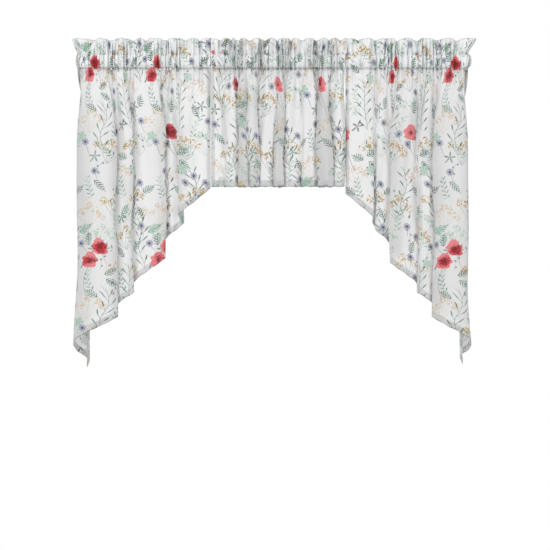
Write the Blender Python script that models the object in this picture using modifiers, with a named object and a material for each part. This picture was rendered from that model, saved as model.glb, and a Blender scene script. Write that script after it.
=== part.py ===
# Three-piece gathered window valance: left swag, straight centre valance, right swag.
# Units are metres. X runs along the rod line, -Y faces the room and Z is up.
# The origin is on the axis of the rod pockets.

import math

import bmesh
import bpy

MM = 0.001

# Heights, measured from the rod axis
HEADER_TOP = 61 * MM
UPPER_STITCH = 18.6 * MM
LOWER_STITCH = -19.2 * MM
SEAM_GAP = 0.3 * MM

# Rod line: left end, the two joints between panels, right end
LEFT_END = -547 * MM
LEFT_JOINT = -176.5 * MM
RIGHT_JOINT = 196 * MM
RIGHT_END = 539 * MM
PANEL_GAP = 1.6 * MM

# Rod pocket and header
POCKET_HALF_DEPTH = 11.6 * MM
POCKET_HALF_HEIGHT = 16.4 * MM
POCKET_WALL = 1.5 * MM
HEADER_THICKNESS = 3.0 * MM
HEADER_RUFFLE = 6.5 * MM
SEAM_RUFFLE = 2.0 * MM
HEADER_DIP = 1.4 * MM
POCKET_CREASE = 0.7 * MM
CREASE_LENGTH = 3.1 * MM
HEADER_COLUMN = 9.2 * MM

# Drops, measured down from the lower stitch line
SHEET = 1.5 * MM
# Heights in which the gathers open into folds and the folds find their places
SWAG_OPENING = (115 * MM, 200 * MM)
CENTRE_OPENING = (80 * MM, 80 * MM)
LEFT_INNER_DROP = 335 * MM
LEFT_OUTER_DROP = 833 * MM
RIGHT_INNER_DROP = 349 * MM
RIGHT_OUTER_DROP = 825 * MM
CENTRE_DROP = 331 * MM
HEM_BOW = 0.047
HEM_BOW_END = 0.8
CORNER_FLARE = 8 * MM
CORNER_FLARE_START = 290 * MM
SWAG_ROWS = 11
CENTRE_ROWS = 9
FLAT_STEP = 34 * MM
TIGHT_TURN = 4.5 * MM

# Header pleats: places along X where the ruffle sinks back
LEFT_PLEATS = (-553, -507, -457, -393, -357, -304, -250, -205, -160)
CENTRE_PLEATS = (-190, -154, -118, -107, -68, -26, 7, 46, 79, 118, 154, 181, 210)
RIGHT_PLEATS = (180, 232, 285, 343, 396, 452, 502, 548)

# Swag folds at the hem, from the centre side to the outer side, in millimetres.
# across: distance from the joint. depth: Y. rounding: length of the turn.
# gathered: distance from the joint at the stitch line.
LEFT_FOLDS = (
    # across, depth, rounding, gathered
    (0, -4, 0, 0),
    (42, -16, 24, 36),
    (94, -13, 5, 82),
    (76, 6, 4, 91),
    (77, 15, 4, 97),
    (112, 0, 8, 112),
    (144, 30, 4, 127),
    (150, 25, 4, 134),
    (119, -11, 5, 147),
    (166, -20, 28, 182),
    (203, -11, 7, 213),
    (221, 14, 4, 223),
    (227, 9, 4, 229),
    (210, -15, 5, 237),
    (248, -10, 7, 260),
    (271, 21, 4, 271),
    (277, 15, 4, 277),
    (255, -16, 5, 289),
    (312, -21, 34, 323),
    (369, -12, 9, 355),
    (374, 20, 12, 362),
    (363, 43, 12, 365),
    (343, 50, 8, 367),
    (333, 42, 7, 368),
    (331, 14, 0, 370),
)
RIGHT_FOLDS = (
    # across, depth, rounding, gathered
    (0, -5, 0, 0),
    (38, -17, 22, 35),
    (79, -12, 5, 75),
    (77, 13, 4, 84),
    (83, 14, 4, 90),
    (85, -6, 5, 98),
    (112, -3, 7, 114),
    (141, 30, 4, 128),
    (147, 25, 4, 134),
    (118, -12, 5, 147),
    (158, -20, 26, 172),
    (189, -10, 7, 196),
    (203, 10, 4, 204),
    (209, 5, 4, 209),
    (195, -14, 5, 216),
    (231, -9, 7, 237),
    (254, 22, 4, 248),
    (260, 16, 4, 254),
    (238, -15, 5, 267),
    (294, -21, 32, 301),
    (338, -10, 9, 327),
    (344, 20, 11, 333),
    (337, 44, 10, 335),
    (323, 51, 7, 337),
    (316, 42, 6, 339),
    (314, 12, 0, 341),
)

# Centre valance pleats, from its left side to its right side, in millimetres.
# place: the fold's edge, from the left joint. lean: how far its hidden cloth lies to the
# right of the edge, or to the left if negative. front, back: Y of the edge and of the turn.
CENTRE_FOLDS = (
    # place, lean, front, back
    (33, 7, -11, 2),
    (69, 24, -16, 26),
    (103, -7, -11, 3),
    (136, -23, -17, 27),
    (173, 8, -12, 5),
    (206, -20, -17, 26),
    (249, 7, -11, 2),
    (289, 23, -18, 28),
    (338, -17, -14, 18),
)
CENTRE_EDGE = -9
CENTRE_TURN = 4

CLOTH_COLOUR = (0.80, 0.81, 0.82, 1.0)
CLOTH_ROUGHNESS = 0.9


def clearScene():
    for item in list(bpy.data.objects):
        bpy.data.objects.remove(item, do_unlink=True)


def makeCollection():
    collection = bpy.data.collections.new("window_valance")
    bpy.context.scene.collection.children.link(collection)
    return collection


def makeMaterial(name):
    material = bpy.data.materials.new(name)
    material.use_nodes = True
    shader = material.node_tree.nodes["Principled BSDF"]
    shader.inputs["Base Color"].default_value = CLOTH_COLOUR
    shader.inputs["Roughness"].default_value = CLOTH_ROUGHNESS
    shader.inputs["Metallic"].default_value = 0.0
    return material


def placeObject(name, mesh, collection):
    item = bpy.data.objects.new(name, mesh)
    mesh.materials.append(makeMaterial(name + "_cloth"))
    collection.objects.link(item)
    mesh.shade_smooth()
    return item


def ease(value):
    value = min(max(value, 0.0), 1.0)
    return value * value * (3.0 - 2.0 * value)


def ruffle(x, pleats):
    # Wave along X from -1 at a pleat's crest to 1 in its valley
    for left, right in zip(pleats, pleats[1:]):
        if x <= right * MM:
            part = (x - left * MM) / ((right - left) * MM)
            return math.cos(2.0 * math.pi * part)
    return 1.0


def turnCorner(before, corner, after, rounding):
    # Points of the curve that rounds a fold, or cuts across a tight one
    pieces = []
    for other in (before, after):
        span = math.dist(corner[:2], other[:2])
        part = min(rounding / span, 0.45)
        pieces.append([a + (b - a) * part for a, b in zip(corner, other)])
    start, end = pieces
    if rounding < TIGHT_TURN:
        return [start, end]
    middle = [0.25 * a + 0.5 * b + 0.25 * c for a, b, c in zip(start, corner, end)]
    return [start, middle, end]


def planCurve(folds):
    # Points (across, depth, gathered) along the folded hem
    corners = [(row[0] * MM, row[1] * MM, row[3] * MM) for row in folds]
    points = [corners[0]]
    for i in range(1, len(corners) - 1):
        turn = turnCorner(corners[i - 1], corners[i], corners[i + 1], folds[i][2] * MM)
        points.extend(turn)
    points.append(corners[-1])
    return splitFlats(points)


def splitFlats(points):
    # Extra columns where the cloth lies flat over a longer stretch
    result = [points[0]]
    for before, after in zip(points, points[1:]):
        count = max(1, math.ceil(math.dist(before[:2], after[:2]) / FLAT_STEP))
        for k in range(1, count + 1):
            result.append([a + (b - a) * k / count for a, b in zip(before, after)])
    return result


def centreFoldRows():
    # Each pleat becomes a fold edge, two turns behind it and the start of the next flat
    width = (RIGHT_JOINT - LEFT_JOINT) / MM
    rows = [(0, CENTRE_EDGE, 0, 0)]
    for place, lean, front, back in CENTRE_FOLDS:
        side = 1 if lean > 0 else -1
        pleat = [
            (place - 3 * side, front + 5, CENTRE_TURN + 1, place - 10 * side),
            (place + lean - 3 * side, back, CENTRE_TURN, place - 3 * side),
            (place + lean + 3 * side, back - 5, CENTRE_TURN, place + 3 * side),
            (place, front, CENTRE_TURN + 1, place + 10 * side),
        ]
        rows.extend(pleat[::side])
    rows.append((width, CENTRE_EDGE, 0, width))
    return rows


def seamDepth(x, pleats):
    return SEAM_RUFFLE * ruffle(x, pleats)


def cutLength(run, lengths):
    # Length of the cloth below the seam: the swag's slanting hem is cut in a slight bow
    bow = HEM_BOW * math.sin(math.pi * min(run / HEM_BOW_END, 1.0))
    return lengths[0] + (lengths[1] - lengths[0]) * (run + bow)


def dropPoint(column, part, place, pleats, lengths):
    # Place of one cloth point: gathers under the seam open into the main folds
    joint, side, fall, spreading = place
    across, depth, gathered, run = column
    down = cutLength(run, lengths) * part
    opened = ease(down / fall)
    spread = ease(down / spreading)
    flare = CORNER_FLARE * part ** 4 if lengths[0] < lengths[1] else 0.0
    flare *= ease((across - CORNER_FLARE_START) / (60 * MM))
    x = joint + side * (gathered + (across - gathered) * spread + flare)
    seamX = joint + side * gathered
    y = seamDepth(seamX, pleats) * (1.0 - opened) + depth * (0.12 + 0.88 * opened)
    return x, y, LOWER_STITCH - SEAM_GAP - POCKET_WALL - down


def runAlong(points):
    # Share of the cloth's width at each column
    total = [0.0]
    for before, after in zip(points, points[1:]):
        total.append(total[-1] + math.dist(before[:2], after[:2]))
    return [value / total[-1] for value in total], total[-1]


def makeDrop(name, folds, rows, place, pleats, lengths, collection):
    points = planCurve(folds)
    runs, width = runAlong(points)
    print(name, "flat width", round(width, 3), "columns", len(points))
    columns = [(*point, run) for point, run in zip(points, runs)]
    sheet = bmesh.new()
    bmesh.ops.create_grid(sheet, x_segments=len(columns) - 1, y_segments=rows, size=0.5)
    for vert in sheet.verts:
        i = round((vert.co.x + 0.5) * (len(columns) - 1))
        part = (0.5 - vert.co.y) ** 1.35
        vert.co = dropPoint(columns[i], part, place, pleats, lengths)
    mesh = bpy.data.meshes.new(name)
    sheet.to_mesh(mesh)
    sheet.free()
    item = placeObject(name, mesh, collection)
    thicken = item.modifiers.new("Cloth thickness", "SOLIDIFY")
    thicken.thickness = SHEET
    thicken.offset = 0.0
    return item


def headingProfile():
    # Outer section of the heading, from the seam up the front, over the top, down the back
    half = 0.5 * HEADER_THICKNESS
    front = (
        (0.74 * POCKET_HALF_DEPTH, 0.68 * LOWER_STITCH),
        (POCKET_HALF_DEPTH, 0.0),
        (0.74 * POCKET_HALF_DEPTH, 0.68 * UPPER_STITCH),
        (half, UPPER_STITCH),
        (half, 0.5 * (UPPER_STITCH + HEADER_TOP)),
        (half * 0.9, HEADER_TOP),
    )
    seam = LOWER_STITCH - POCKET_WALL
    back = [(y, z) for y, z in reversed(front)]
    return [(-half, seam)] + [(-y, z) for y, z in front] + back + [(half, seam)]


def hollowProfile():
    # Section of the empty rod pocket
    depth = POCKET_HALF_DEPTH - POCKET_WALL
    height = POCKET_HALF_HEIGHT
    points = []
    for k in range(8):
        angle = -0.5 * math.pi - 2.0 * math.pi * k / 8
        points.append((depth * math.cos(angle), height * math.sin(angle)))
    return points


def headingPoint(x, y, z, ends, flare, pleats, isOuter):
    # Ruffled place of a section point: straight along the rod, wavy at both stitch lines
    left, right, freeSide = ends
    rise = ease((z - UPPER_STITCH) / (HEADER_TOP - UPPER_STITCH))
    bulge = 1.0 - min(abs(z) / UPPER_STITCH, 1.0)
    if isOuter:
        wave = ruffle(x, pleats)
        seam = SEAM_RUFFLE * (1.0 - bulge) ** 2
        y += math.copysign(POCKET_CREASE * bulge, y) * math.sin(x / CREASE_LENGTH)
        y += wave * (seam + (HEADER_RUFFLE - SEAM_RUFFLE) * rise)
        z -= HEADER_DIP * rise * wave
    if freeSide:
        edge = right if freeSide > 0 else left
        near = ease(1.0 - abs(x - edge) / (46 * MM))
        x += freeSide * near * (flare[0] * rise + flare[1] * bulge)
    return x, y, z


def makeTube(bm, profile, columns, place):
    # A ring of profile points, extruded once for each further column
    ring = bmesh.ops.create_circle(bm, segments=len(profile), radius=1.0)["verts"]
    edges = [edge for edge in bm.edges if edge.verts[0] in ring and edge.verts[1] in ring]
    first = ring
    for x in columns:
        if x != columns[0]:
            step = bmesh.ops.extrude_edge_only(bm, edges=edges)["geom"]
            fresh = {item for item in step if isinstance(item, bmesh.types.BMVert)}
            edges = [item for item in step if isinstance(item, bmesh.types.BMEdge)
                     and item.verts[0] in fresh and item.verts[1] in fresh]
            ring = [follow(vert, fresh) for vert in ring]
        for vert, (y, z) in zip(ring, profile):
            vert.co = place(x, y, z)
    return edgesOf(first), edgesOf(ring)


def follow(vert, fresh):
    for edge in vert.link_edges:
        other = edge.other_vert(vert)
        if other in fresh:
            return other
    return vert


def edgesOf(ring):
    members = set(ring)
    return [edge for vert in ring for edge in vert.link_edges
            if edge.other_vert(vert) in members]


def makeHeading(name, ends, flare, pleats, collection):
    left, right, _ = ends
    count = round((right - left) / HEADER_COLUMN)
    columns = [left + (right - left) * k / count for k in range(count + 1)]
    bm = bmesh.new()
    outer = makeTube(bm, headingProfile(), columns,
                     lambda x, y, z: headingPoint(x, y, z, ends, flare, pleats, True))
    hollow = makeTube(bm, hollowProfile(), columns,
                      lambda x, y, z: headingPoint(x, y, z, ends, flare, pleats, False))
    for outerRing, hollowRing in zip(outer, hollow):
        bmesh.ops.triangle_fill(bm, use_beauty=True, normal=(1.0, 0.0, 0.0),
                                edges=list(set(outerRing) | set(hollowRing)))
    bmesh.ops.recalc_face_normals(bm, faces=bm.faces)
    mesh = bpy.data.meshes.new(name)
    bm.to_mesh(mesh)
    bm.free()
    return placeObject(name, mesh, collection)


def main():
    clearScene()
    collection = makeCollection()
    gap = 0.5 * PANEL_GAP
    makeHeading("heading_left", (LEFT_END, LEFT_JOINT - gap, -1), (14 * MM, 3 * MM),
                LEFT_PLEATS, collection)
    makeHeading("heading_centre", (LEFT_JOINT + gap, RIGHT_JOINT - gap, 0), (0.0, 0.0),
                CENTRE_PLEATS, collection)
    makeHeading("heading_right", (RIGHT_JOINT + gap, RIGHT_END, 1), (20 * MM, 8 * MM),
                RIGHT_PLEATS, collection)
    inset = gap + 0.5 * SHEET
    makeDrop("swag_left", LEFT_FOLDS, SWAG_ROWS, (LEFT_JOINT - inset, -1, *SWAG_OPENING),
             LEFT_PLEATS, (LEFT_INNER_DROP, LEFT_OUTER_DROP), collection)
    makeDrop("valance_centre", centreFoldRows(), CENTRE_ROWS, (LEFT_JOINT, 1, *CENTRE_OPENING),
             CENTRE_PLEATS, (CENTRE_DROP, CENTRE_DROP), collection)
    makeDrop("swag_right", RIGHT_FOLDS, SWAG_ROWS, (RIGHT_JOINT + inset, 1, *SWAG_OPENING),
             RIGHT_PLEATS, (RIGHT_INNER_DROP, RIGHT_OUTER_DROP), collection)


main()
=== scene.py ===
import math

import bmesh
import bpy
import numpy as np
from mathutils import Matrix


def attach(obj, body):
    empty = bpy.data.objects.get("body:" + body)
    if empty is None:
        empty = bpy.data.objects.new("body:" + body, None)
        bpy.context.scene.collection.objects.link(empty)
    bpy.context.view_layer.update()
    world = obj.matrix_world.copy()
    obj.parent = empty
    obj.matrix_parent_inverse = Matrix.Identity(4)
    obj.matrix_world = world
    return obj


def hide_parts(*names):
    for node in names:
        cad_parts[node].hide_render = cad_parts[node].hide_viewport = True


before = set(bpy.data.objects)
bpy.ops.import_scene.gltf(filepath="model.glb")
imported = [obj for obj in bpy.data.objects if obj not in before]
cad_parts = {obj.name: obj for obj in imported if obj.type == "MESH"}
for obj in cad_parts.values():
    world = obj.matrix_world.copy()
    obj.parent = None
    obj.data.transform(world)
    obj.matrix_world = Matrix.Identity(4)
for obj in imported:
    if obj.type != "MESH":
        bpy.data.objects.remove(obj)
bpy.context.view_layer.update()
print("frame loaded:", sorted(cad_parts))

# Rod line and heading, shared by the three cut panels (metres)
heading = {
    "headerTop": 0.0612,  # above the rod axis
    "upperStitch": 0.0186,
    "lowerStitch": -0.0194,
    "pocketDepth": 0.0116,  # how far the pocket bulges to each side
    "layerGap": 0.0011,  # between the two layers at the stitch lines
    "casingHem": 0.006,  # turned edge below the lower stitch, at the back
}
rodLine = {
    "leftEnd": -0.547,
    "leftJoint": -0.1765,
    "rightJoint": 0.196,
    "rightEnd": 0.539,
    "jointGap": 0.0012,  # from a joint to each panel's side hem
}
cloth = {
    "gatherRun": 0.0235,  # flat cloth in one small gather
    "bottomHem": 0.018,
    "sideHem": 0.009,
    "hemLayer": 0.0008,  # how far a turned hem lies behind the cloth
    "step": 0.0024,  # flat cloth between two columns
    "crispTurn": 0.0016,  # rounding of the folds at the hem
    "softTurn": 0.011,  # and where they are rounder
    "gatherEase": 0.016,  # cloth over which the gathering evens out
    "flareFrom": 0.29,  # across from the joint, where a corner starts to turn out
    "flareOver": 0.06,
}

# Folds at the hem, from the centre side outwards, in millimetres:
# across from the joint, depth, rounding of the turn, place at the stitch line.
# opening: heights in which the gathers open into folds and the folds find their places;
# flares: how far the outer corner, the header and the pocket's end stand out
leftSwag = {
    "name": "cloth_swag_left",
    "nodes": ("heading_left", "swag_left"),
    "joint": rodLine["leftJoint"] - rodLine["jointGap"],
    "side": -1,
    "innerDrop": 0.335,
    "outerDrop": 0.833,
    "hemBow": 0.047,
    "cornerFlare": 0.008,
    "headerFlare": 0.014,
    "pocketFlare": 0.003,
    "pleats": (-553, -507, -457, -393, -357, -304, -250, -205, -160),
    "seed": 1.7,
    "opening": (0.115, 0.2),
    "sway": 0.0008,
    "printAt": (-0.012, 0.0),
    "folds": (
        (0, -4, 0, 0),
        (42, -16, 24, 36),
        (94, -13, 5, 82),
        (76, 6, 4, 91),
        (77, 15, 4, 97),
        (112, 0, 8, 112),
        (144, 30, 4, 127),
        (150, 25, 4, 134),
        (119, -11, 5, 147),
        (166, -20, 28, 182),
        (203, -11, 7, 213),
        (221, 14, 4, 223),
        (227, 9, 4, 229),
        (210, -15, 5, 237),
        (248, -10, 7, 260),
        (271, 21, 4, 271),
        (277, 15, 4, 277),
        (255, -16, 5, 289),
        (312, -21, 34, 323),
        (369, -12, 9, 355),
        (374, 20, 12, 362),
        (363, 43, 12, 365),
        (343, 50, 8, 367),
        (333, 42, 7, 368),
        (339, 15, 0, 370),
    ),
}
rightSwag = {
    "name": "cloth_swag_right",
    "nodes": ("heading_right", "swag_right"),
    "joint": rodLine["rightJoint"] + rodLine["jointGap"],
    "side": 1,
    "innerDrop": 0.349,
    "outerDrop": 0.825,
    "hemBow": 0.047,
    "cornerFlare": 0.008,
    "headerFlare": 0.020,
    "pocketFlare": 0.008,
    "pleats": (180, 232, 285, 343, 396, 452, 502, 548),
    "seed": 4.1,
    "opening": (0.115, 0.2),
    "sway": 0.0008,
    "printAt": (0.156, 0.004),
    "folds": (
        (0, -5, 0, 0),
        (38, -17, 22, 35),
        (79, -12, 5, 75),
        (77, 13, 4, 84),
        (83, 14, 4, 90),
        (85, -6, 5, 98),
        (112, -3, 7, 114),
        (141, 30, 4, 128),
        (147, 25, 4, 134),
        (118, -12, 5, 147),
        (158, -20, 26, 172),
        (189, -10, 7, 196),
        (203, 10, 4, 204),
        (209, 5, 4, 209),
        (195, -14, 5, 216),
        (231, -9, 7, 237),
        (254, 22, 4, 248),
        (260, 16, 4, 254),
        (238, -15, 5, 267),
        (294, -21, 32, 301),
        (338, -10, 9, 327),
        (344, 20, 11, 333),
        (337, 44, 10, 335),
        (323, 51, 7, 337),
        (316, 42, 6, 339),
        (322, 13, 0, 341),
    ),
}
# The centre valance: each pleat's edge from the left joint, lean of its hidden cloth,
# depth of the edge and of the turn behind it. Insets: half a turn's width at the hem and
# at the stitch line; slant: how much deeper its far side lies
centreValance = {
    "name": "cloth_valance_centre",
    "nodes": ("heading_centre", "valance_centre"),
    "joint": rodLine["leftJoint"] + rodLine["jointGap"],
    "side": 1,
    "innerDrop": 0.331,
    "outerDrop": 0.331,
    "hemBow": 0.0,
    "cornerFlare": 0.0,
    "headerFlare": 0.0,
    "pocketFlare": 0.0,
    "pleats": (-190, -154, -118, -107, -68, -26, 7, 46, 79, 118, 154, 181, 210),
    "seed": 2.9,
    "opening": (0.08, 0.08),
    "sway": 0.002,
    "printAt": (0.037, -0.13),
    "edge": -9,
    "turn": 4,
    "hemInset": 3,
    "seamInset": 10,
    "slant": 5,
    "folds": (
        (33, 7, -11, 2),
        (69, 24, -16, 26),
        (103, -7, -11, 3),
        (136, -23, -17, 27),
        (173, 8, -12, 5),
        (206, -20, -17, 26),
        (249, 7, -11, 2),
        (289, 23, -18, 28),
        (338, -17, -14, 18),
    ),
}


def ease(value):  # smooth step from 0 to 1
    value = np.clip(value, 0.0, 1.0)
    return value * value * (3.0 - 2.0 * value)


def pleatRows(panel):  # the centre valance's pleats as rows like a swag's
    width = (rodLine["rightJoint"] - rodLine["leftJoint"] - 2 * rodLine["jointGap"]) * 1000
    turn, slant = panel["turn"], panel["slant"]
    rows = [(0, panel["edge"], 0, 0)]
    for place, lean, front, back in panel["folds"]:
        side = 1 if lean > 0 else -1
        inset, seamInset = panel["hemInset"] * side, panel["seamInset"] * side
        pleat = [(place - inset, front + slant, turn + 1, place - seamInset),
                 (place + lean - inset, back, turn, place - inset),
                 (place + lean + inset, back - slant, turn, place + inset),
                 (place, front, turn + 1, place + seamInset)]
        rows += pleat[::side]
    return rows + [(width, panel["edge"], 0, width)]


def foldLine(rows):  # rounded line through the fold corners: across, depth, gathered
    corners = np.array([(row[0], row[1], row[3]) for row in rows]) / 1000
    points = [corners[0]]
    for i in range(1, len(corners) - 1):
        corner, rounding = corners[i], rows[i][2] / 1000
        ends = []
        for other in (corners[i - 1], corners[i + 1]):
            part = min(rounding / np.hypot(*(other - corner)[:2]), 0.46)
            ends.append(corner + (other - corner) * part)
        for t in np.linspace(0, 1, 9):
            points.append(ends[0] * (1 - t) ** 2 + corner * 2 * t * (1 - t) + ends[1] * t * t)
    points.append(corners[-1])
    return np.array(points)


def evenColumns(line, step):  # the line resampled at even steps of flat cloth
    run = np.concatenate([[0], np.cumsum(np.hypot(*np.diff(line[:, :2], axis=0).T))])
    count = round(run[-1] / step)
    flat = np.linspace(0, run[-1], count + 1)
    columns = [np.interp(flat, run, line[:, k]) for k in range(3)]
    columns[2] = soften(columns[2], cloth["gatherEase"] / step)
    turns = (cloth["crispTurn"], cloth["softTurn"])
    across = [soften(columns[0], width / step) for width in turns]
    depth = [soften(columns[1], width / step) for width in turns]
    return flat, np.array(across), np.array(depth), columns[2]


def soften(values, width):  # running average with fixed ends
    reach = int(3 * width) + 1
    kernel = np.exp(-0.5 * (np.arange(-reach, reach + 1) / max(width, 0.3)) ** 2)
    before = 2 * values[0] - values[reach:0:-1]
    after = 2 * values[-1] - values[-2:-reach - 2:-1]
    padded = np.concatenate([before, values, after])
    return np.convolve(padded, kernel / kernel.sum(), "valid")


def wander(flat, seed, *lengths):  # slow uneven wave along the cloth, from -1 to 1
    total = sum(math.cos(seed * k) * np.sin(2 * np.pi * flat / length + seed * (k + 1.3))
                for k, length in enumerate(lengths, 1))
    return total / max(np.abs(total).max(), 1e-6)


def smallGathers(flat, seamX, seed):  # wave that takes up the cloth between seam points
    phase = 2 * np.pi * flat / cloth["gatherRun"] + 1.5 * wander(flat, seed, 0.13, 0.071)
    swell = 1 + 0.38 * wander(flat, seed + 2, 0.09, 0.047)
    shape = swell * (np.sin(phase) + 0.22 * np.sin(2 * phase + 0.7 + seed))
    lean = swell * np.sin(2 * phase + 0.4)
    low, high = 0.0, 0.03
    for _ in range(24):  # depth at which the wave's length is the flat cloth's
        depth = (low + high) / 2
        x = seamX + 0.16 * depth * lean
        length = np.hypot(np.diff(x), np.diff(depth * shape)).sum()
        low, high = (depth, high) if length < flat[-1] else (low, depth)
    return depth * shape, 0.16 * depth * lean


def ruffle(x, pleats):  # header pleats: -1 on a crest, 1 in a narrow valley
    places = np.array(pleats) / 1000
    turn = np.interp(x, places, np.arange(len(places)))
    away = np.abs(turn - np.rint(turn))
    return 2.2 * np.exp(-(away / 0.17) ** 2) - np.sin(np.pi * away)


def cutLength(panel, flat):  # cloth below the lower stitch, column by column
    run = flat / flat[-1]
    bow = panel["hemBow"] * np.sin(np.pi * np.clip(run / 0.8, 0, 1))
    return panel["innerDrop"] + (panel["outerDrop"] - panel["innerDrop"]) * (run + bow)


def headingRows():  # rows over the heading: side (1 back, -1 front), height above the axis
    h = heading
    pocket = np.linspace(h["lowerStitch"], h["upperStitch"], 11)
    header = np.linspace(h["upperStitch"], h["headerTop"], 11)[1:]
    back = [h["lowerStitch"] - h["casingHem"], h["lowerStitch"] - 0.003, *pocket, *header]
    front = [*header[::-1][1:], *pocket[::-1]]
    sides = [1.0] * (len(back) - 1) + [0.0] + [-1.0] * len(front)
    return np.array(sides), np.array(back + front)


def headingPoints(panel, flat, seamX, gatherY, gatherX):
    # Up the back layer, over the header's edge and down the front to the lower stitch
    h = heading
    sides, heights = headingRows()
    side, z = sides[:, None], heights[:, None]
    middle = (h["upperStitch"] + h["lowerStitch"]) / 2
    half = (h["upperStitch"] - h["lowerStitch"]) / 2
    bulge = np.sqrt(np.clip(1 - ((z - middle) / half) ** 2, 0, 1))
    rise = np.clip((z - h["upperStitch"]) / (h["headerTop"] - h["upperStitch"]), 0, 1)
    wave = ruffle(seamX, panel["pleats"])[None, :]
    seed = panel["seed"]
    # Gathers: tight at the stitches, drawn round the rod, opening up the header
    crush = 1.1 - 0.2 * bulge - 0.15 * rise
    taper = 1 - 0.5 * ease((rise - 0.55) / 0.45)
    y = side * (h["pocketDepth"] * bulge + h["layerGap"] / 2 * (1 + 2.2 * rise))
    if panel["headerFlare"]:
        outer = seamX.max() - seamX if panel["side"] > 0 else seamX - seamX.min()
        crush = crush * (0.3 + 0.7 * ease(outer / 0.05))
    y = y + gatherY[None, :] * crush * taper
    y = y + wave * (0.0016 * (1 - bulge) + 0.0062 * ease(rise))
    # Crumple: the layers bulge unevenly, and the header's edge rises and falls
    y = y + side * 0.0012 * np.sin(7 * rise * np.pi / 2) * wander(flat, seed + 5, 0.05, 0.031)
    x = seamX[None, :] + gatherX[None, :] * crush * taper
    x = x + 0.004 * rise * wander(flat, seed + 1, 0.12, 0.067)[None, :]
    x = x + 0.0012 * bulge * wander(flat, seed + 3, 0.06, 0.033)[None, :]
    lift = -0.0009 * wave + 0.0012 * wander(flat, seed + 4, 0.045, 0.08)[None, :]
    z = z + ease(rise) * lift + 0 * x
    if panel["headerFlare"]:
        near = ease(1 - outer / 0.046)[None, :]
        reach = panel["headerFlare"] * ease(rise) + panel["pocketFlare"] * bulge
        x = x + panel["side"] * near * reach
    return x, y, z


def dropPoints(panel, flat, across, depth, seamX, gatherY, gatherX):
    # From the lower stitch to the hem: gathers at the top, the plan's folds below
    seed = panel["seed"]
    length = cutLength(panel, flat)[None, :]
    hem = cloth["bottomHem"]
    count = 34 if panel["outerDrop"] == panel["innerDrop"] else 74
    share = np.linspace(0, 1, count + 1)[1:, None] ** 1.25
    down = np.concatenate([(length - hem) * share,
                           length - hem + hem * np.linspace(0.25, 1, 4)[:, None]])
    part = down / length
    # Crisp folds at the hem, here and there rounder higher up
    rounder = 0.5 + 0.5 * np.sin(2 * np.pi * (down / 0.29 + flat / 0.41) + 2.3 * seed)
    rounder = ease(1.3 * rounder - 0.15) * ease((length - down - 0.02) / 0.09)
    across = across[0] + (across[1] - across[0]) * rounder
    depth = depth[0] + (depth[1] - depth[0]) * rounder
    opened = ease(down / panel["opening"][0])
    spread = ease(down / panel["opening"][1])
    corner = ease((across - cloth["flareFrom"]) / cloth["flareOver"])
    flare = panel["cornerFlare"] * part ** 4 * corner
    wave = ruffle(seamX, panel["pleats"])[None, :]
    fade = np.exp(-down / 0.042)
    soft = ease(down / 0.03) * np.exp(-down / 0.12)
    jointX = panel["joint"] + panel["side"] * (across + flare)
    x = seamX + (jointX - seamX) * spread + gatherX * fade
    y = 0.002 * wave * (1 - opened) + depth * (0.12 + 0.88 * opened) + gatherY * fade
    # Middle gathers under the seam, then soft waves and a little crumple to the hem
    y = y + 0.0045 * soft * np.sin(2 * np.pi * flat / 0.058 + seed + 1.6 * np.sin(flat * 31))
    y = y + 0.0021 * opened * np.sin(2 * np.pi * flat / 0.083 + seed * 2 + down * 5)
    y = y + 0.0011 * opened * np.sin(2 * np.pi * (flat / 0.031 + down / 0.33) + seed)
    y = y + 0.0007 * np.sin(2 * np.pi * (flat / 0.047 - down / 0.11) + 3 * seed)
    pucker = np.exp(-(length - down) / 0.02)  # along the hem's stitches
    y = y + 0.0009 * pucker * np.sin(2 * np.pi * flat / 0.021 + 2 * np.sin(flat * 53))
    x = x + 0.0022 * opened * np.sin(down * 13 + seed + flat * 9) * ease(flat / 0.05)
    x = x + panel["sway"] * opened * np.sin(down * 19 + flat * 23 + seed) * ease(flat / 0.05)
    z = heading["lowerStitch"] - down + 0.0008 * pucker * np.sin(flat * 190 + seed)
    return x, y, z, down


def backwards(points):  # direction from the face of the cloth to its reverse
    down = np.gradient(points, axis=0)
    along = np.gradient(points, axis=1)
    normal = np.cross(along, down)
    return normal / np.maximum(np.linalg.norm(normal, axis=2, keepdims=True), 1e-9)


def turnHems(points, flat, fall, side):
    # The cloth continues behind itself: bottom hem as extra rows, side hems as extra columns
    normal = backwards(points) * side
    layer = cloth["hemLayer"]
    rows = list(range(-2, -6, -1))  # the hem's four rows, from its edge up
    under = points[rows] + normal[rows] * layer
    points = np.concatenate([points, under])
    normal = np.concatenate([normal, normal[rows]])
    fall = np.concatenate([fall, 2 * fall[-1] - fall[rows]])
    inset = max(2, round(cloth["sideHem"] / cloth["step"]))
    first, last = list(range(inset, 0, -1)), list(range(-2, -2 - inset, -1))
    points = np.concatenate([points[:, first] + normal[:, first] * layer, points,
                             points[:, last] + normal[:, last] * layer], axis=1)
    fall = np.concatenate([fall[:, first], fall, fall[:, last]], axis=1)
    flat = np.concatenate([-flat[first], flat, 2 * flat[-1] - flat[last]])
    return points, flat, fall


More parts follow.
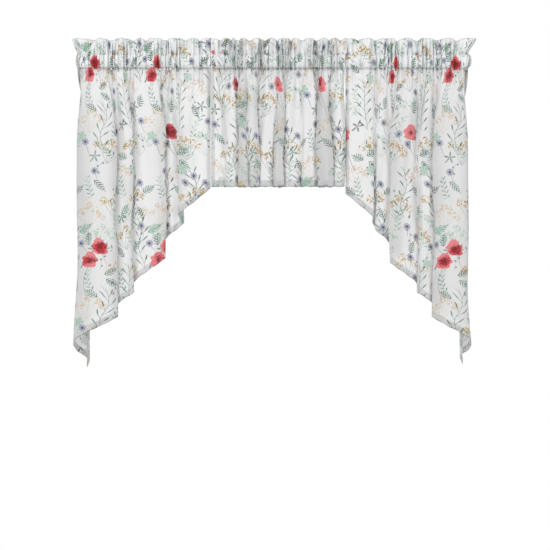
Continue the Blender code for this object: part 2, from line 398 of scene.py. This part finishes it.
def clothMesh(name, points, cut, printAt, edge):
    # A bmesh grid whose points are moved to the cloth's places. UV maps in metres: cut is
    # the flat cloth from the joint and the lower stitch, print is the same on the repeat
    rows, columns = points.shape[:2]
    bm = bmesh.new()
    bmesh.ops.create_grid(bm, x_segments=columns - 1, y_segments=rows - 1, size=0.5)
    mesh = bpy.data.meshes.new(name)
    bm.to_mesh(mesh)
    bm.free()
    grid = np.empty(len(mesh.vertices) * 3)
    mesh.vertices.foreach_get("co", grid)
    grid = grid.reshape(-1, 3)
    column = np.rint((grid[:, 0] + 0.5) * (columns - 1)).astype(int)
    row = np.rint((0.5 - grid[:, 1]) * (rows - 1)).astype(int)
    mesh.vertices.foreach_set("co", points[row, column].ravel())
    corner = np.empty(len(mesh.loops), dtype=np.int32)
    mesh.loops.foreach_get("vertex_index", corner)
    cut = cut[row, column][corner]
    mesh.uv_layers.new(name="cut").data.foreach_set("uv", cut.ravel())
    mesh.uv_layers.new(name="print").data.foreach_set("uv", (cut + printAt).ravel())
    border = mesh.attributes.new("border", "FLOAT", "POINT")
    border.data.foreach_set("value", edge[row, column].ravel())
    mesh.shade_smooth()
    mesh.update()
    piece = bpy.data.objects.new(name, mesh)
    bpy.context.scene.collection.objects.link(piece)
    return piece


def makePanel(panel, rows):
    flat, across, depth, gathered = evenColumns(foldLine(rows), cloth["step"])
    seamX = panel["joint"] + panel["side"] * gathered
    gatherY, gatherX = smallGathers(flat, seamX, panel["seed"])
    top = headingPoints(panel, flat, seamX, gatherY, gatherX)
    drop = dropPoints(panel, flat, across, depth, seamX, gatherY, gatherX)
    points = np.concatenate([np.stack(np.broadcast_arrays(*top), axis=2),
                             np.stack(np.broadcast_arrays(*drop[:3]), axis=2)])
    seamRow = len(top[0]) - 1
    climb = np.linalg.norm(np.diff(points[:seamRow + 1, :, 1:].mean(axis=1), axis=0), axis=1)
    above = np.append(np.cumsum(climb[::-1])[::-1], 0)
    fall = np.concatenate([np.repeat(above[:, None], len(flat), axis=1), -drop[3]])
    hemLine = cutLength(panel, flat)
    points, cutX, fall = turnHems(points, flat, fall, panel["side"])
    hemAll = np.interp(np.clip(cutX, 0, flat[-1]), flat, hemLine)
    border = np.abs(fall + hemAll[None, :])
    cut = np.stack(np.broadcast_arrays(cutX * panel["side"], fall), axis=2)
    piece = clothMesh(panel["name"], points, cut, panel["printAt"], border)
    if panel["side"] < 0:
        piece.data.flip_normals()
    # Flat size of the cut, with its turned hems
    width = cutX[-1] - cutX[0]
    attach(piece, "root")
    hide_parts(*panel["nodes"])
    return piece


panels = [makePanel(leftSwag, leftSwag["folds"]),
          makePanel(centreValance, pleatRows(centreValance)),
          makePanel(rightSwag, rightSwag["folds"])]


# Print: a wildflower repeat on the flat cloth, in millimetres, zero at the lower stitch
repeat = (320, 515)
halfRow = (320, 257.5)  # a motif that comes twice in the height of the repeat
quarter = (160, 257.5)  # and one that comes twice both ways
stitching = {"upper": 45, "lower": 1, "hem": 17, "length": 3.2}
inks = {
    "white": (0.525, 0.531, 0.537, 1),
    "cream": (0.527, 0.517, 0.502, 1),
    "maroon": (0.11, 0.002, 0.008, 1),
    "coral": (0.50, 0.02, 0.03, 1),
    "pink": (0.60, 0.16, 0.17, 1),
    "cornflower": (0.19, 0.20, 0.27, 1),
    "heart": (0.035, 0.04, 0.075, 1),
    "ochre": (0.38, 0.25, 0.08, 1),
    "tan": (0.43, 0.31, 0.18, 1),
    "sage": (0.25, 0.36, 0.28, 1),
    "leaf": (0.045, 0.16, 0.10, 1),
    "pine": (0.012, 0.05, 0.035, 1),
    # the heading's two layers: a lighter colour that is painted light, offsetting the shade of
    # their gathers
    "doubleLayerPaintedLight": (0.655, 0.663, 0.67, 1),
    "mint": (0.26, 0.39, 0.31, 1),
    "stem": (0.12, 0.17, 0.14, 1),
    "bud": (0.03, 0.045, 0.05, 1),
}


class Term:  # a socket's value in shader maths
    def __init__(self, socket):
        self.socket = socket

    def __add__(self, other):
        return press.calc("ADD", self, other)

    def __sub__(self, other):
        return press.calc("SUBTRACT", self, other)

    def __rsub__(self, other):
        return press.calc("SUBTRACT", other, self)

    def __mul__(self, other):
        return press.calc("MULTIPLY", self, other)

    def __truediv__(self, other):
        return press.calc("DIVIDE", self, other)

    def __pow__(self, other):
        return press.calc("POWER", self, other)

    def __abs__(self):
        return press.calc("ABSOLUTE", self)

    __radd__ = __add__
    __rmul__ = __mul__


class Press:  # adds nodes to one material
    def __init__(self, name):
        self.material = bpy.data.materials.new(name)
        self.material.use_nodes = True
        self.tree = self.material.node_tree
        self.tree.nodes.clear()

    def add(self, kind, settings, inputs, output=0):
        node = self.tree.nodes.new("ShaderNode" + kind)
        for key, value in settings.items():
            setattr(node, key, value)
        for key, value in inputs.items():
            if isinstance(value, Term):
                self.tree.links.new(value.socket, node.inputs[key])
            else:
                node.inputs[key].default_value = value
        return Term(node.outputs[output]) if node.outputs else node

    def calc(self, operation, *values, clamp=False):
        settings = {"operation": operation, "use_clamp": clamp}
        return self.add("Math", settings, dict(enumerate(values)))

    def vector(self, operation, *values, output=0):
        return self.add("VectorMath", {"operation": operation}, dict(enumerate(values)), output)

    def split(self, value):
        x = self.add("SeparateXYZ", {}, {0: value})
        return x, Term(x.socket.node.outputs[1])

    def soft(self, value, blur):  # 0 outside, 1 inside, over a soft edge
        return self.calc("MULTIPLY_ADD", value, 1 / blur, 0.5, clamp=True)

    def tint(self, mask, under, over):
        return self.add("Mix", {"data_type": "RGBA"}, {0: mask, 6: under, 7: over}, 2)


press = Press("printedCloth")
calc, soft = press.calc, press.soft


def millimetres(uvMap):
    return press.vector("MULTIPLY", press.add("UVMap", {"uv_map": uvMap}, {}), (1000,) * 3)


def noise(place, scale, detail):
    return press.add("TexNoise", {}, {"Vector": place, "Scale": scale, "Detail": detail})


# Fields: the print's own places bent a little, uneven washes of colour, dots
flatCloth = millimetres("print")
cutX, cutY = press.split(millimetres("cut"))
printX, printY = press.split(flatCloth)
bend = press.add("CombineXYZ", {}, {
    0: calc("SINE", printY * (2 * math.pi / 103)) * 3.5,
    1: calc("SINE", printX * (2 * math.pi / 80) + 1) * 3})
ground = press.vector("ADD", flatCloth, bend)
wash = noise(flatCloth, 0.11, 3.0)
grain = noise(flatCloth, 0.3, 2.0)
season = soft(noise(flatCloth, 0.021, 1.0) - 0.5, 0.22)
speck = press.add("TexVoronoi", {}, {"Vector": flatCloth, "Scale": 0.2})
dots = soft(0.5 - speck, 0.18)


def nearest(every, *places):  # own axes of the nearest of some places: x, y, turn
    half = (every[0] / 2, every[1] / 2, 1)
    best = None
    for x, y, turn in places:
        own = press.vector("SUBTRACT", ground, (x, y, 0))
        own = press.vector("WRAP", own, half, (-half[0], -half[1], -1))
        if turn:
            own = press.add("VectorRotate", {"rotation_type": "Z_AXIS"},
                            {"Vector": own, "Angle": -turn})
        far = press.vector("LENGTH", own, output=1)
        if best is None:
            best, reach = own, far
        else:
            closer = calc("LESS_THAN", far, reach)
            best = press.add("Mix", {"data_type": "VECTOR"}, {0: closer, 4: best, 5: own}, 1)
            reach = calc("MINIMUM", far, reach)
    return *press.split(best), reach


def umbel(x, y):  # rays from a foot, each with a head of dots
    up = y + 34
    far = (x * x + up * up) ** 0.5
    ray = calc("ARCTAN2", x, up) / 0.37
    number = calc("MINIMUM", calc("MAXIMUM", calc("ROUND", ray), -2), 2)
    aside = (ray - number) * 0.37 * far
    ring = far - 54 - calc("SINE", number * 2.3 + 1) * 7
    head = soft(13 - (aside * aside + ring * ring * 1.5) ** 0.5, 4) * dots
    rays = soft(0.9 - abs(aside), 0.9) * soft(0 - ring, 3)
    return head, rays


def featherLeaf(x, y):  # slanting leaflets along an axis
    side = abs(y)
    shape = 10 - (x * x) * 0.026 - x * 0.12
    leaflets = soft(calc("SINE", (x - side * 0.9) * (2 * math.pi / 6.8)) - 0.1, 0.9)
    spine = soft(0.7 - side, 0.8) * soft(21 - abs(x), 2)
    return calc("MAXIMUM", soft(shape - side, 2.5) * leaflets, spine)


def sprig(x, y):  # pairs of small leaves on a curved stem
    across = x - y * y * 0.006
    side = abs(across)
    tilt = calc("PINGPONG", y - side * 0.8 + 3.2 * calc("SIGN", across), 6.5)
    leaf = 2.7 * calc("SINE", calc("MULTIPLY", side, 0.1, clamp=True) * math.pi)
    inside = soft(31 - abs(y), 3)
    return soft(leaf - tilt, 0.9) * inside, soft(0.55 - side, 0.8) * inside


def stem(x, y, curve, top, foot):  # thin line hanging below a flower
    across = abs(x - y * y * curve)
    return soft(0.8 - across, 0.9) * soft(top - y, 4) * soft(y - foot, 8)


def vine(x, y):  # tall stem, upturned branches with a leaf at each end
    across = x - 5 * calc("SINE", y * (math.pi / 55))
    side = abs(across)
    rise = calc("PINGPONG", y - side * 1.2 + 6.5 * calc("SIGN", across), 13)
    tip = ((side - 15) * (side - 15) * 0.25 + rise * rise) ** 0.5
    lines = soft(0.7 - rise * 0.65, 0.9) * soft(15 - side, 2) + soft(0.8 - side, 0.9)
    inside = soft(70 - abs(y), 5)
    return lines * inside, soft(2.9 - tip, 1.2) * inside


def budStem(x, y):  # buds on both sides of a curved stem
    across = x + y * y * 0.008
    inside = soft(27 - abs(y), 2)
    swing = across - 3.6 * calc("SINE", y * (math.pi / 15) + 1.57)
    rise = calc("PINGPONG", y, 7.5) * 0.62
    buds = soft(1.9 - (swing * swing + rise * rise) ** 0.5, 1.1)
    return buds * inside, soft(0.55 - abs(across), 0.8) * inside


# Layers from the palest to the poppies
colour = press.tint(soft(wash - 0.55, 0.5), inks["white"], inks["cream"])
doubleLayerPaintedLight = soft(cutY - stitching["lower"], 3)  # two layers, which let less light through, and where the colour is painted lighter as painted light against their shade
# painted light: the two-layer heading gets a lighter colour to offset the shade of its layers
# and gathers
colour = press.tint(doubleLayerPaintedLight, colour, inks["doubleLayerPaintedLight"])
green = press.tint(season, inks["leaf"], inks["mint"])
dark = press.tint(season, inks["leaf"], inks["pine"])
x, y, r = nearest(repeat, (30, -150, 0.1), (255, -60, -0.2), (180, -300, 0.2), (30, -410, -0.1))
head, rays = umbel(x, y)
colour = press.tint(head * 0.8 + rays * 0.4, colour, inks["tan"])
x, y, r = nearest(repeat, (150, -115, -0.15), (285, -215, 0.2), (65, 45, 0.1), (215, -430, 0))
head, rays = umbel(x, y)
colour = press.tint(head * 0.85 + rays * 0.45, colour, inks["sage"])
x, y, r = nearest(repeat, (125, -35, 0.3), (265, -365, 0.1), (110, -385, -0.2), (205, 40, 0.1),
                  (88, -232, -0.2), (238, -222, 0.15))
head, rays = umbel(x, y)
colour = press.tint(rays * 0.5, colour, inks["stem"])
colour = press.tint(head, colour, inks["ochre"])
colour = press.tint(head * soft(0.22 - speck, 0.12) * 0.55, colour, inks["bud"])

x, y, r = nearest(repeat, (212, -100, 0.05), (72, -165, -0.1), (262, -345, 0.1),
                  (128, -345, -0.08), (300, 30, 0.1))
lines, tips = vine(x, y)
colour = press.tint(lines * 0.75, colour, inks["stem"])
colour = press.tint(tips * 0.8, colour, dark)
x, y, r = nearest(quarter, (28, -75, 0.2), (108, -160, -0.3), (70, -228, 0.9))
leaves, stems = sprig(x, y)
colour = press.tint(stems * 0.6, colour, inks["stem"])
colour = press.tint(leaves * 0.8, colour, green)
x, y, r = nearest(quarter, (100, -95, -0.1), (140, -205, 0.35), (62, -20, 2.8))
buds, stems = budStem(x, y)
colour = press.tint(stems * 0.6, colour, inks["stem"])
colour = press.tint(buds * 0.85, colour, inks["bud"])
x, y, r = nearest(repeat, (90, -48, 0.5), (96, -80, -0.55), (34, -112, 2.5), (228, -232, 0.6),
                  (186, -246, 2.6), (238, -268, -0.5), (150, 22, 1.2), (185, 5, 2.1),
                  (290, 20, 0.7), (30, 42, 1.7), (150, -104, 1.3), (262, -118, 1.9),
                  (308, -92, 1.2), (318, -335, 0.6), (165, -335, 2.4), (60, -330, -0.7),
                  (205, -398, 1.0), (300, -402, 2.0), (20, -445, 0.5))
leaf = featherLeaf(x, y)
colour = press.tint(leaf * (0.4 + 0.9 * wash + 0.3 * doubleLayerPaintedLight), colour, dark)

x, y, r = nearest(halfRow, (45, -250, 0.3), (190, -160, 0), (280, -110, 1.0))
angle = calc("ARCTAN2", y, x)
star = soft(17 * abs(calc("COSINE", angle * 2.5)) ** 2.5 - r, 2.5)
colour = press.tint(star * (0.3 + 0.8 * wash), colour, dark)
x, y, r = nearest(halfRow, (12, -188, 0), (232, -25, 0.8))
angle = calc("ARCTAN2", y, x)
vein = soft(abs(calc("SINE", angle * 2.5)) - 0.5 + 0.03 * r, 0.5)
disc = soft(13.5 + 1.5 * calc("COSINE", angle * 5) - r, 2) * (0.35 + 0.75 * wash)
colour = press.tint(disc, colour, press.tint(vein, inks["leaf"], inks["mint"]))

x, y, r = nearest(repeat, (140, -8, 0), (158, -62, 0.3), (112, -182, 0), (135, -212, 0.5),
                  (20, -205, 0), (300, -150, 0.2), (262, -300, 0), (292, -322, 0.4),
                  (235, -318, 0.8), (50, -290, 0.1), (130, -440, 0), (160, -462, 0.5),
                  (300, -440, 0.2), (250, 25, 0), (10, 30, 0.4))
angle = calc("ARCTAN2", y, x)
petals = soft(11 * (0.66 + 0.34 * abs(calc("COSINE", angle * 4.5))) - r, 1.6)
colour = press.tint(stem(x, y, 0.006, -8, -36) * 0.7, colour, inks["stem"])
colour = press.tint(petals * (0.5 + 0.6 * wash), colour, inks["cornflower"])
colour = press.tint(soft(3.4 - r, 3.4) * 0.9, colour, inks["heart"])

# Poppies: a pair, its stem below, and a single one half a repeat aside
x, y, r = nearest(repeat, (62, 16, 0.15), (28, -20, -0.3), (148, -178, 0.1))
angle = calc("ARCTAN2", y, x)
rim = 22 + 2.2 * calc("SINE", angle * 5 + 1.4 * calc("SINE", angle * 2)) + 5 * (wash - 0.5)
crease = abs(calc("SINE", angle * 2.5 + 0.1 * r + 9 * wash))
depth = soft(0.8 * crease + 0.03 * r + 2.6 * grain - 2.3, 1.0)
poppy = soft(rim - r, 2)
colour = press.tint(stem(x, y, 0.0024, -16, -108) * 0.75, colour, inks["stem"])
petal = press.tint(depth, inks["maroon"], inks["coral"])
petal = press.tint(soft(r * 0.05 + 1.6 * grain + 0.8 * season - 1.85, 0.5) * 0.8, petal,
                   inks["pink"])
petal = press.tint(soft(3 - r, 3) * 0.8, petal, inks["maroon"])
colour = press.tint(poppy * 0.97, colour, petal)

# Cloth: plain weave, slub, stitches; light passes through where there is no ink
warp = noise(press.vector("MULTIPLY", flatCloth, (1.1, 0.12, 1)), 1.0, 2.0)
weft = noise(press.vector("MULTIPLY", flatCloth, (0.12, 1.1, 1)), 1.0, 2.0)
toHem = press.add("Attribute", {"attribute_name": "border"}, {}, 2) * 1000
seam = calc("MINIMUM", abs(cutY - stitching["upper"]), abs(cutY - stitching["lower"]))
seam = calc("MINIMUM", seam, abs(toHem - stitching["hem"]))
thread = soft(calc("SINE", cutX * (2 * math.pi / stitching["length"])) + 0.4, 0.8)
stitch = soft(0.5 - seam, 0.6) * thread
colour = press.tint(stitch * 0.25, colour, inks["stem"])
bump = press.add("Bump", {}, {"Strength": 0.25, "Distance": 0.0006,
                              "Height": warp + weft - stitch * 0.8})
sheer = press.add("RGBToBW", {}, {0: colour}) ** 2
single = 1 - doubleLayerPaintedLight
reverse = press.add("NewGeometry", {}, {}, 6)  # 1 on the reverse, where the print is paler
shown = press.tint(reverse * 0.45 * single, colour, inks["white"])
body = press.add("BsdfPrincipled", {}, {
    "Base Color": shown, "Roughness": 0.9, "Specular IOR Level": 0.15,
    "Alpha": 1 - 0.2 * sheer * single, "Normal": bump})
glow = press.add("BsdfTranslucent", {}, {"Color": (0.78, 0.78, 0.785, 1)})
shine = press.add("MixShader", {}, {0: (1.35 - 1.13 * doubleLayerPaintedLight) * sheer, 1: body, 2: glow})
press.add("OutputMaterial", {}, {"Surface": shine})
print("printed cloth:", len(press.tree.nodes), "nodes")
for piece in panels:
    piece.data.materials.append(press.material)


# Studio: pale floor well below, soft lights, the camera level with the window's middle
studio = {
    "pixel": 0.00278,  # metres in a pixel of the photograph, at the cloth
    "frame": 550,
    "distance": 4.0,
    "aim": (0.0014, 0.0, -0.595),
    "sensor": 36,
    "floor": -2.05,
    "floorHalf": 3.4,
    "floorColour": (0.8, 0.8, 0.8, 1),
    "worldColour": (1.0, 1.0, 1.0, 1),
    "worldStrength": 1.0,
    "lights": (  # name, place, size, watts, turn in degrees
        ("keyLight", (-1.4, -3.2, 1.1), 1.4, 70, (67, 0, -23.6)),
        ("windowLight", (-0.8, 2.4, -0.8), 2.2, 22, (-90, 0, 0)),
        ("fillLight", (2.6, -2.4, 0.2), 2.0, 18, (85, 0, 48)),
    ),
}


def makeStudio():
    bm = bmesh.new()
    bmesh.ops.create_grid(bm, x_segments=1, y_segments=1, size=studio["floorHalf"])
    mesh = bpy.data.meshes.new("floor")
    bm.to_mesh(mesh)
    bm.free()
    mesh.transform(Matrix.Translation((0, 0, studio["floor"])))
    floor = bpy.data.objects.new("floor", mesh)
    bpy.context.scene.collection.objects.link(floor)
    paint = bpy.data.materials.new("paleFloor")
    paint.use_nodes = True
    coat = paint.node_tree.nodes["Principled BSDF"]
    coat.inputs["Base Color"].default_value = studio["floorColour"]
    mesh.materials.append(paint)
    world = bpy.data.worlds.new("studio")
    world.use_nodes = True
    background = world.node_tree.nodes["Background"]
    background.inputs[0].default_value = studio["worldColour"]
    background.inputs[1].default_value = studio["worldStrength"]
    bpy.context.scene.world = world
    for name, place, size, power, turn in studio["lights"]:
        lamp = bpy.data.lights.new(name, "AREA")
        lamp.energy = power
        lamp.size = size
        item = bpy.data.objects.new(name, lamp)
        item.location = place
        item.rotation_euler = [math.radians(a) for a in turn]
        item.visible_camera = False
        bpy.context.scene.collection.objects.link(item)
    lens = bpy.data.cameras.new("camera")
    lens.sensor_width = studio["sensor"]
    lens.lens = studio["sensor"] * studio["distance"] / (studio["pixel"] * studio["frame"])
    camera = bpy.data.objects.new("camera", lens)
    camera.location = (studio["aim"][0], -studio["distance"], studio["aim"][2])
    camera.rotation_euler = (math.pi / 2, 0, 0)
    bpy.context.scene.collection.objects.link(camera)
    bpy.context.scene.camera = camera
    bpy.context.scene.view_settings.view_transform = "Standard"


makeStudio()
print("studio ready")
